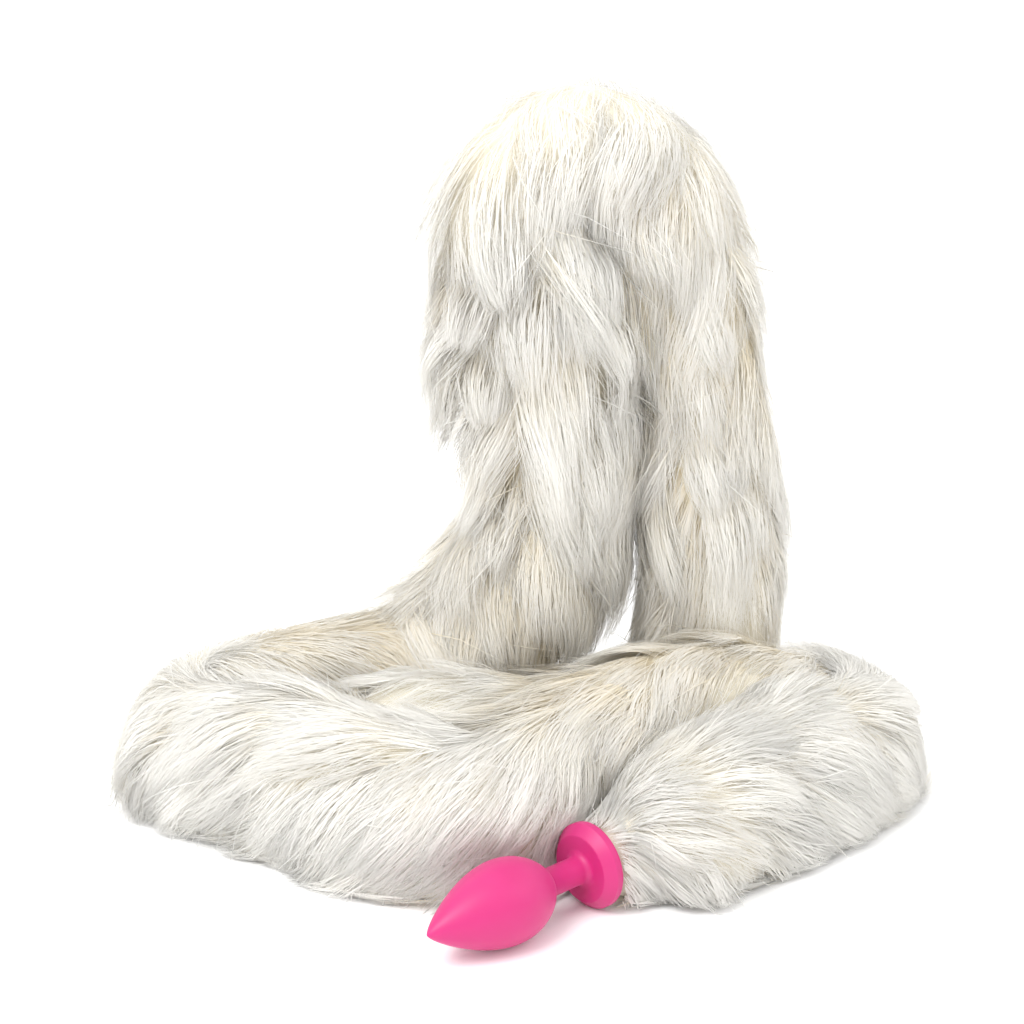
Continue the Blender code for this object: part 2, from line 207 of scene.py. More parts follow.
# Hidden post. A plain turned steel pin that joins the flange to the tail's backing. It is never
# seen on the whole object, and keeps the shape of its solid, with a turned finish.
def turned_steel_material():
    """Plain steel with fine rings from the lathe."""
    material, shader, nodes, links = new_material("turned_steel")
    place = nodes.new("ShaderNodeTexCoord")
    rings = nodes.new("ShaderNodeTexNoise")
    rings.inputs["Scale"].default_value = 1500.0
    links.new(place.outputs["Object"], rings.inputs["Vector"])
    shade = nodes.new("ShaderNodeMix")
    shade.data_type = "RGBA"
    shade.inputs["A"].default_value = (0.50, 0.50, 0.51, 1.0)
    shade.inputs["B"].default_value = (0.60, 0.60, 0.61, 1.0)
    links.new(rings.outputs["Fac"], shade.inputs["Factor"])
    links.new(shade.outputs["Result"], shader.inputs["Base Color"])
    shader.inputs["Metallic"].default_value = 1.0
    shader.inputs["Roughness"].default_value = 0.35
    return material


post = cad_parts["root_post"]
post.data.materials.clear()
post.data.materials.append(turned_steel_material())

# Tail backing. A sewn tube of knitted backing cloth, softly filled, from which the pile grows.
# It follows the tail's middle line from the flange, through its folds and the arch, to the tip,
# and lies flat where it rests. Only glimpses of it show, deep between the tufts, in a cream
# darkened partly as painted shade.
LOOP_WIDTH = 0.2800
LOOP_DEPTH = 0.1250
ARCH_HEIGHT = 0.2240
FUR_RADIUS = 0.0300
BACKING_SHARE = 0.86
RING_PITCH = 0.0040
CURVE_STEPS = 24
ROOT_SHARE = 1.05
ROOT_PILE = (1.0, 0.9, 0.5)

# across is a share of LOOP_WIDTH, back of LOOP_DEPTH and up of ARCH_HEIGHT; lie and girth are
# shares of FUR_RADIUS, and lie is added to up. comb is the pull of the pile along the tail
# beside its weight, white how far its tips are white over cream, and shag how deep its tufts are.
Station = namedtuple("Station", "name across back up lie girth comb white shag")
STATIONS = (
    Station("front right, start", 0.200, -0.590, 0.00, 0.74, 0.90, 1.0, 0.9, 0.5),
    Station("front right", 0.290, -0.376, 0.00, 0.76, 0.96, 1.0, 0.9, 0.5),
    Station("front right, end", 0.374, -0.208, 0.00, 0.76, 0.96, 1.0, 0.9, 0.5),
    Station("right fold, in", 0.438, -0.080, 0.00, 0.70, 0.86, 0.8, 0.9, 0.4),
    Station("right fold", 0.464, 0.048, 0.00, 0.64, 0.76, 0.5, 0.9, 0.4),
    Station("right fold, out", 0.422, 0.152, 0.00, 0.70, 0.80, 0.6, 0.7, 0.4),
    Station("rear right, start", 0.345, 0.100, 0.00, 0.86, 0.86, 1.0, 0.5, 0.4),
    Station("rear right", 0.261, -0.016, 0.00, 1.06, 0.90, 1.0, 0.55, 0.4),
    Station("rear right, crest", 0.164, -0.152, 0.00, 1.10, 0.92, 1.0, 0.55, 0.4),
    Station("rear right, end", 0.064, -0.304, 0.00, 0.92, 0.92, 1.0, 0.6, 0.5),
    Station("front point", -0.036, -0.528, 0.00, 0.72, 1.02, 1.0, 0.9, 0.5),
    Station("front left, start", -0.136, -0.500, 0.00, 0.76, 1.04, 1.0, 0.9, 0.5),
    Station("front left", -0.229, -0.340, 0.00, 0.78, 1.04, 1.0, 0.9, 0.5),
    Station("front left, end", -0.318, -0.216, 0.00, 0.76, 0.98, 1.0, 0.9, 0.5),
    Station("left fold, in", -0.386, -0.108, 0.00, 0.70, 0.84, 0.5, 0.9, 0.5),
    Station("left fold", -0.426, 0.000, 0.00, 0.72, 0.86, 0.15, 0.9, 0.5),
    Station("left fold, out", -0.396, 0.104, 0.00, 0.80, 0.90, 0.2, 0.7, 0.5),
    Station("back left, start", -0.307, 0.176, 0.00, 0.86, 0.98, 0.5, 0.4, 0.4),
    Station("back left", -0.196, 0.240, 0.00, 0.92, 1.02, 0.7, 0.3, 0.4),
    Station("left leg, foot", -0.082, 0.304, 0.06, 0.88, 1.04, 0.4, 0.3, 0.5),
    Station("left leg, ankle", 0.014, 0.320, 0.18, 0.90, 1.02, 0.1, 0.4, 0.6),
    Station("left leg, low", 0.058, 0.320, 0.45, 0.00, 1.00, 0.0, 0.6, 0.9),
    Station("left leg, middle", 0.046, 0.320, 0.63, 0.00, 1.12, 0.0, 0.7, 1.15),
    Station("left leg, high", 0.036, 0.320, 0.83, 0.00, 1.18, 0.0, 0.7, 1.15),
    Station("arch, left", 0.030, 0.312, 0.95, 0.00, 1.16, 0.0, 0.8, 1.0),
    Station("arch, top", 0.078, 0.304, 1.01, 0.00, 1.08, 0.0, 0.8, 0.7),
    Station("arch, right", 0.163, 0.304, 0.97, 0.00, 0.98, 0.1, 0.7, 0.7),
    Station("right leg, high", 0.230, 0.304, 0.83, 0.00, 0.78, 0.9, 0.6, 0.75),
    Station("right leg, middle", 0.250, 0.304, 0.64, 0.00, 0.76, 1.0, 0.6, 0.75),
    Station("right leg, low", 0.264, 0.304, 0.44, 0.00, 0.90, 1.0, 0.7, 0.7),
    Station("right leg, ankle", 0.271, 0.304, 0.15, 0.84, 0.90, 1.0, 0.4, 0.5),
    Station("right leg, foot", 0.254, 0.288, 0.00, 0.96, 0.86, 1.0, 0.4, 0.4),
    Station("tip, start", 0.179, 0.184, 0.00, 0.68, 0.82, 1.0, 0.4, 0.4),
    Station("tip, behind the crest", 0.071, 0.040, 0.00, 0.66, 0.80, 1.0, 0.4, 0.4),
    Station("tip, middle", -0.036, -0.072, 0.00, 0.82, 0.80, 1.0, 0.8, 0.4),
    Station("tip, lump", -0.136, -0.144, 0.00, 1.04, 0.76, 1.0, 0.95, 0.4),
    Station("tip, end", -0.200, -0.176, 0.00, 1.10, 0.50, 0.6, 0.95, 0.4),
)


def station_values():
    """Rows of x, y, z and fur radius in metres, then comb, white and shag.

    The first two are the tail's root, at the flange's back and at the post's end.
    """
    rows = [
        (
            row.across * LOOP_WIDTH + SHIFT[0],
            row.back * LOOP_DEPTH + SHIFT[1],
            row.up * ARCH_HEIGHT + row.lie * FUR_RADIUS,
            row.girth * FUR_RADIUS,
            row.comb,
            row.white,
            row.shag,
        )
        for row in STATIONS
    ]
    girth = FLANGE_DIAMETER / 2 * ROOT_SHARE
    ahead = FLANGE_BACK - TOWARDS_TIP * POST_IN_TAIL
    root = [(*FLANGE_BACK, girth, *ROOT_PILE), (*ahead, girth, *ROOT_PILE)]
    return np.array(root + rows)


def smooth_path():
    """The middle line through the stations, in even steps of RING_PITCH.

    Between two stations it is a Catmull-Rom curve, a cubic whose slope at each station is half
    the step between that station's neighbours.
    """
    rows = station_values()
    padded = np.vstack([2 * rows[0] - rows[1], rows, 2 * rows[-1] - rows[-2]])
    before, first, last, after = padded[:-3], padded[1:-2], padded[2:-1], padded[3:]
    t = np.linspace(0, 1, CURVE_STEPS, endpoint=False)[None, :, None]
    start, end = first[:, None], last[:, None]
    slope_in, slope_out = (last - before)[:, None] / 2, (after - first)[:, None] / 2
    curve = (
        (2 * t**3 - 3 * t**2 + 1) * start
        + (t**3 - 2 * t**2 + t) * slope_in
        + (3 * t**2 - 2 * t**3) * end
        + (t**3 - t**2) * slope_out
    )
    curve = np.vstack([curve.reshape(-1, rows.shape[1]), rows[-1]])
    way = np.concatenate([[0], np.cumsum(np.linalg.norm(np.diff(curve[:, :3], axis=0), axis=1))])
    even = np.linspace(0, way[-1], round(way[-1] / RING_PITCH))
    return np.stack([np.interp(even, way, column) for column in curve.T], axis=1)


def path_frames(path):
    """The tangent and two cross directions at each ring, carried along without twisting."""
    tangents = np.gradient(path[:, :3], axis=0)
    tangents /= np.linalg.norm(tangents, axis=1, keepdims=True)
    side = np.cross(tangents[0], (0.0, 0.0, 1.0))
    sides = []
    for tangent in tangents:
        side = side - tangent * side.dot(tangent)
        side /= np.linalg.norm(side)
        sides.append(side)
    sides = np.array(sides)
    return tangents, sides, np.cross(sides, tangents)


def unit(vectors):
    """The vectors at length 1."""
    return vectors / np.maximum(np.linalg.norm(vectors, axis=-1, keepdims=True), 1e-9)


PATH = smooth_path()
TANGENTS, SIDES, UPS = path_frames(PATH)
SKIRT = 0.45
LOOSE_SKIRT = 0.55
SKIRT_TOP = 1.5
BACKING_CLEAR = 0.0006
END_RINGS = 4
FLAT = np.array([1.0, 1.0, 0.0])


def skirt(rings, out):
    """How much wider than round the tail is this way out, for it spreads where it lies.

    It is 1 upwards and grows downwards, by SKIRT and by LOOSE_SKIRT times the lack of comb, and
    fades out where the middle line is SKIRT_TOP fur radii over the floor.
    """
    low = np.clip(SKIRT_TOP - rings[..., 2] / FUR_RADIUS, 0, 1)
    spread = SKIRT + LOOSE_SKIRT * (1 - rings[..., 4])
    return 1 + low * spread * np.clip(-out[..., 2], 0, 0.5)


def build_backing(sides=32):
    """A tube round the middle line, with round ends drawn in by the root of a quarter circle."""
    turn = np.linspace(0, 2 * math.pi, sides, endpoint=False)
    rings = len(PATH)
    to_end = np.minimum(np.arange(rings) + 0.3, rings - 0.7 - np.arange(rings))
    ends = np.clip(to_end / END_RINGS, 0, 1)
    radius = PATH[:, 3] * BACKING_SHARE * np.sqrt(1 - (1 - ends) ** 2)
    ring = np.cos(turn)[None, :, None] * SIDES[:, None] + np.sin(turn)[None, :, None] * UPS[:, None]
    radius = radius[:, None] * skirt(PATH[:, None], ring)
    points = PATH[:, None, :3] + ring * radius[..., None]
    points[..., 2] = np.maximum(points[..., 2], BACKING_CLEAR)
    points = np.vstack([points.reshape(-1, 3), PATH[:1, :3], PATH[-1:, :3]])
    row, place = np.arange(rings - 1)[:, None], np.arange(sides)[None]
    after = (place + 1) % sides
    low, high = row * sides, (row + 1) * sides
    walls = np.stack([low + place, low + after, high + after, high + place], axis=-1)
    walls = walls.reshape(-1, 4)
    tube = np.vstack([walls[:, [0, 1, 2]], walls[:, [0, 2, 3]]])
    place, after = place[0], after[0]
    first = np.stack([np.full(sides, rings * sides), after, place], axis=1)
    end = (rings - 1) * sides
    last = np.stack([np.full(sides, rings * sides + 1), end + place, end + after], axis=1)
    return mesh_piece("tail_backing", points, np.vstack([tube, first, last]))


tail_backing = build_backing()


def backing_material():
    """Knitted backing and the pile's roots: cream darkened partly as painted shade, patchy at random,
    and a matted bump.
    """
    material, shader, nodes, links = new_material("backing_cloth")
    place = nodes.new("ShaderNodeTexCoord")
    patches = nodes.new("ShaderNodeTexNoise")
    patches.inputs["Scale"].default_value = 160.0
    patches.inputs["Detail"].default_value = 5.0
    links.new(place.outputs["Object"], patches.inputs["Vector"])
    # Painted shade: both creams are darker than the pile's, partly for the shade deep between the tufts.
    shade = nodes.new("ShaderNodeMix")
    shade.data_type = "RGBA"
    shade.inputs["A"].default_value = (0.62, 0.57, 0.45, 1.0)
    shade.inputs["B"].default_value = (0.78, 0.74, 0.64, 1.0)
    links.new(patches.outputs["Fac"], shade.inputs["Factor"])
    links.new(shade.outputs["Result"], shader.inputs["Base Color"])
    matting = nodes.new("ShaderNodeBump")
    matting.inputs["Strength"].default_value = 0.6
    matting.inputs["Distance"].default_value = 0.0008
    links.new(patches.outputs["Fac"], matting.inputs["Height"])
    links.new(matting.outputs["Normal"], shader.inputs["Normal"])
    shader.inputs["Roughness"].default_value = 0.95
    return material


tail_backing.data.materials.append(backing_material())
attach(tail_backing, "root")
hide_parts("fur_tail")

# Pile. Long soft acrylic fur, knitted into the backing and combed towards the tip, in pointed
# tufts. Its weight turns it over on the rising leg. Each strand is a thin strip with a point,
# drawn together in clumps, and the clumps in tufts. Five pieces share the whole length.
STRANDS = 27800
SPARE = 1.9
STRAND_LENGTH = 0.038
STRAND_WIDTH = 0.00026
STEPS = 4
PILE_ROOT = 0.86
DROOP = 1.00
MOST_LIFT = 4.5
STRIDE_POWER = 1.2
RUN_ON = 0.4
ROOT_TUFT = 0.010
NEXT_TURN = 0.075
TURN_SHARE = 0.88
BURIED = 0.72
FACES_FLOOR, LOW, UNDER_LEFT_OUT = -0.45, 1.2, 0.75
STRAY_SHARE = 0.04
TUFT_DRAW, SHAG_DRAW, CLUMP_DRAW = 0.25, 0.60, 0.36
LEAST_HEIGHT, MOST_LEAST_HEIGHT, SHADE_HEIGHT = 0.0004, 0.0018, 0.012
FLOOR_REACH = 0.0050
PRESSED = 0.0045
TUFT_PITCH, TUFTS_AROUND = 0.0150, 11
CLUMP_PITCH, CLUMPS_AROUND = 0.0044, 38
PILE_SEED = 5
PILE_PIECES = ("pile_right", "pile_front", "pile_left", "pile_rising_leg", "pile_falling_leg")


def hashed(rows, columns, spread, seed):
    """Even random numbers from minus spread to spread, the same for the same row and column."""
    table = np.random.default_rng(seed).uniform(-spread, spread, (997, 101))
    return table[rows % 997, columns % 101]


def at(way, table):
    """The table's rows at these places along the middle line, in between its rings."""
    way = np.clip(way, 0, len(table) - 1.001)
    low = way.astype(int)
    part = (way - low)[:, None]
    return table[low] * (1 - part) + table[low + 1] * part


def grow(way, turn, length, lift, swirl):
    """Points and outward directions of strands from their places on the backing.

    Each step goes along the pile's lie, which is the comb's pull along the tail plus the pile's
    weight, without its part through the skin, turned by the swirl. After each step the point is
    set at the height that the strand has reached over the middle line: it rises from the root's
    radius to the fur's as one minus the square of the way left, times the lift. What comes down
    to the floor runs on over it, away from the tail.
    """
    rings = at(way, PATH)
    side, up = at(way, SIDES), at(way, UPS)
    out = unit(np.cos(turn)[:, None] * side + np.sin(turn)[:, None] * up)
    point = rings[:, :3] + out * (PILE_ROOT * rings[:, 3] * skirt(rings, out))[:, None]
    landed = np.zeros(len(way), bool)
    points, outs = [point], [out]
    for step in range(1, STEPS + 1):
        rings = at(way, PATH)
        tangent = unit(at(way, TANGENTS))
        lie = rings[:, 4:5] * tangent - DROOP * np.array([0.0, 0.0, 1.0])
        lie = lie - out * (lie * out).sum(axis=1, keepdims=True)
        pull = np.linalg.norm(lie, axis=1, keepdims=True)
        lie = unit(lie + tangent * 0.1 * np.clip(0.3 - pull, 0, 1))
        lie = np.cos(swirl)[:, None] * lie + np.sin(swirl)[:, None] * np.cross(out, lie)
        reached, before = step / STEPS, (step - 1) / STEPS
        stride = (length * (reached**STRIDE_POWER - before**STRIDE_POWER))[:, None]
        landed |= (point[:, 2] < FLOOR_REACH) & (out[:, 2] < 0)
        away = unit(lie * FLAT + unit(out * FLAT) * 0.8)
        laid = point + away * stride * RUN_ON
        point = point + lie * stride
        for _ in range(2):
            rings = at(way, PATH)
            tangent = unit(at(way, TANGENTS))
            way = way + ((point - rings[:, :3]) * tangent).sum(axis=1) / RING_PITCH * 0.8
            way = np.clip(way, 0, len(PATH) - 1.001)
        rings = at(way, PATH)
        out = unit(point - rings[:, :3])
        rise = 1 - (1 - reached) ** 2
        at_root = np.exp(-way * RING_PITCH / ROOT_TUFT)
        bushy = lift + 0.8 * np.clip(0.5 - pull[:, 0], 0, 1) + 2.0 * at_root
        height = rings[:, 3] * (PILE_ROOT + (1 - PILE_ROOT) * rise * bushy) * skirt(rings, out)
        past_end = np.linalg.norm(point - rings[:, :3], axis=1)
        height = np.where(way > len(PATH) - 1.5, np.maximum(height, past_end), height)
        point = rings[:, :3] + out * height[:, None]
        point = np.where(landed[:, None], laid, point)
        out = np.where(landed[:, None], unit(away * 0.5 + np.array([0.0, 0.0, 0.8])), out)
        points.append(point)
        outs.append(out)
    return np.stack(points, axis=1), np.stack(outs, axis=1)


def gathered(way, turn, pitch, around, seed):
    """The clump that each strand belongs to: its row and column, and the place of its middle."""
    row = np.floor(way * RING_PITCH / pitch).astype(int)
    place = turn / (2 * math.pi) * around + 0.5 * (row % 2)
    column = np.floor(place).astype(int)
    middle_way = (row + 0.5 + hashed(row, column, 0.35, seed)) * pitch / RING_PITCH
    middle = column + 0.5 + hashed(row, column, 0.35, seed + 1) - 0.5 * (row % 2)
    return row, column % around, middle_way, middle / around * 2 * math.pi


def clear_of_turns(points, home):
    """Points moved out of the tail's other turns, to just inside their fur."""
    best = np.zeros(points.shape[:2])
    push = np.zeros_like(points)
    for ring in range(0, len(PATH), 3):
        far = np.abs(home - ring)[:, None] * RING_PITCH > NEXT_TURN
        away = points - PATH[ring, :3]
        distance = np.linalg.norm(away, axis=2)
        depth = np.where(far, PATH[ring, 3] * TURN_SHARE - distance, 0)
        deeper = depth > best
        best = np.where(deeper, depth, best)
        push = np.where(deeper[..., None], away / np.maximum(distance, 1e-6)[..., None], push)
    return points + push * best[..., None], best.max(axis=1)


def clear_of_plug(points):
    """Points moved off the plug, straight away from its axis, and back behind its flange."""
    offset = points - FLANGE_BACK
    along = offset @ TOWARDS_TIP
    radial = offset - along[..., None] * TOWARDS_TIP
    reach = np.linalg.norm(radial, axis=-1)
    rim = FLANGE_DIAMETER / 2 + 0.0006
    inside = (along > -0.0002) & (along < PLUG_LENGTH) & (reach < rim)
    moved = radial * (rim / np.maximum(reach, 1e-6) - 1)[..., None]
    return points + np.where(inside[..., None], moved, 0)


def out_of_floor(way, turn):
    """How far the way out of the tail at these places points up, from 0 level to 1 upright."""
    out = np.cos(turn)[:, None] * at(way, SIDES) + np.sin(turn)[:, None] * at(way, UPS)
    return np.clip(unit(out)[:, 2], 0, 1)


def strands_of(low, high, count, rng):
    """The strands rooted between two places on the middle line: points, normals and colour levels, which
    carry painted shade as well as the pile's own whiteness.

    A strand's normal is its way out from the tail, turned towards its side of its tuft, so that
    light falls over each tuft as over a rounded lock.
    """
    girth = np.interp(np.linspace(low, high, 400), np.arange(len(PATH)), PATH[:, 3])
    total = np.cumsum(girth)
    way = np.interp(rng.uniform(0, total[-1], int(count * SPARE)), total, np.linspace(low, high, 400))
    turn = rng.uniform(0, 2 * math.pi, len(way))
    rings = at(way, PATH)
    out = np.cos(turn)[:, None] * at(way, SIDES) + np.sin(turn)[:, None] * at(way, UPS)
    root = rings[:, :3] + out * (PILE_ROOT * rings[:, 3])[:, None]
    # Roots deep inside another turn are never seen, and few of those that face the floor are.
    room = np.full(len(way), 1.0)
    for ring in range(0, len(PATH), 2):
        far = np.abs(way - ring) * RING_PITCH > NEXT_TURN
        left = np.linalg.norm(root - PATH[ring, :3], axis=1) / PATH[ring, 3]
        room = np.where(far, np.minimum(room, left - BURIED), room)
    under = (out[:, 2] < FACES_FLOOR) & (rings[:, 2] < FUR_RADIUS * LOW)
    keep = (room > 0) & ~(under & (rng.uniform(size=len(way)) < UNDER_LEFT_OUT))
    way, turn, room = way[keep][:count], turn[keep][:count], room[keep][:count]
    rings = at(way, PATH)
    white, shag = rings[:, 5], rings[:, 6]

    length = STRAND_LENGTH * (rings[:, 3] / FUR_RADIUS) ** 0.5
    row, column, tuft_way, tuft_turn = gathered(way, turn, TUFT_PITCH, TUFTS_AROUND, 21)
    tuft_long = 1 + hashed(row, column, 0.30, 31) * (0.5 + shag)
    tuft_lift = 1 + hashed(row, column, 1.30, 32) * (0.3 + 0.7 * shag) + 1.3 * shag**2
    tuft_swirl = hashed(row, column, 0.35, 33) * (0.5 + shag * 0.6)
    tuft, _ = grow(tuft_way, tuft_turn, length * tuft_long, tuft_lift, tuft_swirl)
    row2, column2, clump_way, clump_turn = gathered(way, turn, CLUMP_PITCH, CLUMPS_AROUND, 41)
    clump_long = tuft_long * (1 + hashed(row2, column2, 0.15, 51))
    clump_swirl = tuft_swirl + hashed(row2, column2, 0.22, 52)
    clump_lift = np.minimum(tuft_lift * (1 + hashed(row2, column2, 0.25, 53)), MOST_LIFT)
    clump, _ = grow(clump_way, clump_turn, length * clump_long, clump_lift, clump_swirl)
    own_long = clump_long * rng.normal(1.0, 0.10, len(way))
    stray = rng.uniform(size=len(way)) < STRAY_SHARE
    own_swirl = clump_swirl + rng.normal(0, 0.13, len(way)) + stray * rng.normal(0, 0.35, len(way))
    own_lift = np.minimum(clump_lift * (1 + stray * rng.uniform(0, 0.8, len(way))), MOST_LIFT)
    own, outs = grow(way, turn, length * own_long, own_lift, own_swirl)

    t = np.linspace(0, 1, STEPS + 1)[None, :, None]
    near_tuft = (TUFT_DRAW + SHAG_DRAW * shag)[:, None, None] * t**1.5 * ~stray[:, None, None]
    near_clump = CLUMP_DRAW * t**1.3 * np.where(stray, 0.3, 1.0)[:, None, None]
    normals = unit(outs + np.clip((own - tuft) / TUFT_PITCH, -1, 1) * 0.6)
    clump = clump + (tuft - clump) * near_tuft
    points = own + (clump - own) * near_clump
    points = points + (tuft - points) * near_tuft * 0.5
    points, pushed = clear_of_turns(points, way)
    points = clear_of_plug(points)
    least = rng.uniform(LEAST_HEIGHT, MOST_LEAST_HEIGHT, points.shape[:1])[:, None]
    points[..., 2] = np.maximum(points[..., 2], least)
    tone_and_shade = white + hashed(row, column, 0.15, 61) + rng.normal(0, 0.12, len(way))
    # Painted shade: the tone drops towards cream and olive for roots close to another turn, where the
    # creases are shaded, and for roots under SHADE_HEIGHT over the floor.
    tone_and_shade -= 0.8 * np.clip(1 - room / 0.5, 0, 1) + 0.6 * np.clip(1 - room / 0.3, 0, 1)
    tone_and_shade -= 0.9 * np.clip(1 - points[:, 0, 2] / SHADE_HEIGHT, 0, 1)
    tone_and_shade = np.clip(tone_and_shade, -0.5, 1)
    rings = at(way, PATH)
    weak = np.clip(0.6 - np.hypot(rings[:, 4], 1 - out_of_floor(way, turn)), 0, 0.5)
    fresh = np.clip(weak + 0.6 * np.exp(-way * RING_PITCH / ROOT_TUFT), 0, 0.7)
    kept = pushed < PRESSED
    return points[kept], outs[kept], normals[kept], tone_and_shade[kept], fresh[kept]


def pile_piece(name, points, outs, normals, tone_and_shade, fresh, rng):
    """Strips along the strands, widest a third of the way up, facing out, each with a point."""
    count = len(points)
    along = unit(np.gradient(points, axis=1))
    roll = rng.uniform(-0.35, 0.35, count)[:, None, None]
    across = unit(np.cross(along, outs))
    across = np.cos(roll) * across + np.sin(roll) * outs
    t = np.linspace(0, 1, STEPS + 1)
    width = STRAND_WIDTH * (0.75 + 0.5 * np.sin(math.pi * np.minimum(t * 1.3, 1))) * (1 - t**3)
    size = rng.uniform(0.7, 1.3, count)[:, None] * width[None]
    left = points - across * size[..., None] / 2
    right = points + across * size[..., None] / 2
    verts = np.concatenate(
        [np.stack([left[:, :-1], right[:, :-1]], axis=2).reshape(count, -1, 3), points[:, -1:]], axis=1
    )
    normals = np.concatenate([np.repeat(normals[:, :-1], 2, axis=1), normals[:, -1:]], axis=1)
    pairs = 2 * np.arange(STEPS - 1)[:, None]
    corners = pairs + np.array([[0, 1, 3, 0, 3, 2]])
    tip = np.array([2 * STEPS - 2, 2 * STEPS - 1, 2 * STEPS])
    pattern = np.concatenate([corners.reshape(-1), tip])
    per = verts.shape[1]
    faces = (np.arange(count)[:, None] * per + pattern).reshape(-1, 3)
    piece = mesh_piece(name, verts.reshape(-1, 3), faces)
    mesh = piece.data
    soft = mesh.attributes.new("pile_normal", "FLOAT_VECTOR", "POINT")
    soft.data.foreach_set("vector", normals.astype(np.float32).reshape(-1))
    u = np.concatenate([np.repeat(t[:-1], 2), t[-1:]])
    edge = np.concatenate([np.tile([-0.004, 0.004], STEPS), [0.0]])
    # The strand map's v carries the tone, with its painted shade.
    uv = np.stack(
        [u + (0.98 - u) * fresh[:, None], (tone_and_shade[:, None] + 0.5) * 0.65 + 0.01 + edge[None]], axis=-1
    ).reshape(-1, 2)
    layer = mesh.uv_layers.new(name="strand")
    layer.data.foreach_set("uv", uv[faces.reshape(-1)].astype(np.float32).reshape(-1))
    return piece


def pile_colour_group():
    """Colour along a strand: a darker cream at the root, partly painted shade of the roots low in
    the pile, then cream, then white by the strand's level.

    The level is the strand's whiteness less its painted shade. At a third it is cream to the tip,
    and under that it darkens towards a brownish cream: painted shade, for the creases between
    the turns and for the pile near the floor.
    """
    group = bpy.data.node_groups.new("pile_colour", "ShaderNodeTree")
    for name in ("Along", "Tone and shade"):
        group.interface.new_socket(name, in_out="INPUT", socket_type="NodeSocketFloat")
    for name in ("Root", "Cream", "White"):
        group.interface.new_socket(name, in_out="INPUT", socket_type="NodeSocketColor")
    group.interface.new_socket("Colour", in_out="OUTPUT", socket_type="NodeSocketColor")
    nodes, links = group.nodes, group.links
    given, result = nodes.new("NodeGroupInput"), nodes.new("NodeGroupOutput")
    from_root = nodes.new("ShaderNodeMapRange")
    from_root.interpolation_type = "SMOOTHSTEP"
    from_root.inputs["From Min"].default_value = 0.0
    from_root.inputs["From Max"].default_value = 0.5
    links.new(given.outputs["Along"], from_root.inputs["Value"])
    body = nodes.new("ShaderNodeMix")
    body.data_type = "RGBA"
    links.new(from_root.outputs["Result"], body.inputs["Factor"])
    links.new(given.outputs["Root"], body.inputs["A"])
    links.new(given.outputs["Cream"], body.inputs["B"])
    whiteness = nodes.new("ShaderNodeMath")
    whiteness.operation = "MULTIPLY_ADD"
    whiteness.inputs[1].default_value = 0.9
    links.new(given.outputs["Along"], whiteness.inputs[0])
    own_white = nodes.new("ShaderNodeMapRange")
    own_white.inputs["From Min"].default_value = 0.33
    own_white.inputs["From Max"].default_value = 0.98
    links.new(given.outputs["Tone and shade"], own_white.inputs["Value"])
    links.new(own_white.outputs["Result"], whiteness.inputs[2])
    to_white = nodes.new("ShaderNodeMapRange")
    to_white.interpolation_type = "SMOOTHSTEP"
    to_white.inputs["From Min"].default_value = 0.35
    to_white.inputs["From Max"].default_value = 1.35
    links.new(whiteness.outputs["Value"], to_white.inputs["Value"])
    tips = nodes.new("ShaderNodeMix")
    tips.data_type = "RGBA"
    links.new(to_white.outputs["Result"], tips.inputs["Factor"])
    links.new(body.outputs["Result"], tips.inputs["A"])
    links.new(given.outputs["White"], tips.inputs["B"])
    # Painted shade: under a tone of a third the colour is multiplied by olive, for the shade deep in the
    # creases and near the floor.
    painted_shade_amount = nodes.new("ShaderNodeMapRange")
    painted_shade_amount.inputs["From Min"].default_value = 0.33
    painted_shade_amount.inputs["From Max"].default_value = 0.0
    links.new(given.outputs["Tone and shade"], painted_shade_amount.inputs["Value"])
    painted_olive_shade = nodes.new("ShaderNodeMix")
    painted_olive_shade.data_type = "RGBA"
    painted_olive_shade.blend_type = "MULTIPLY"
    painted_olive_shade.inputs["B"].default_value = (0.72, 0.66, 0.50, 1.0)
    links.new(painted_shade_amount.outputs["Result"], painted_olive_shade.inputs["Factor"])
    links.new(tips.outputs["Result"], painted_olive_shade.inputs["A"])
    links.new(painted_olive_shade.outputs["Result"], result.inputs["Colour"])
    return group


PILE_COLOUR = pile_colour_group()


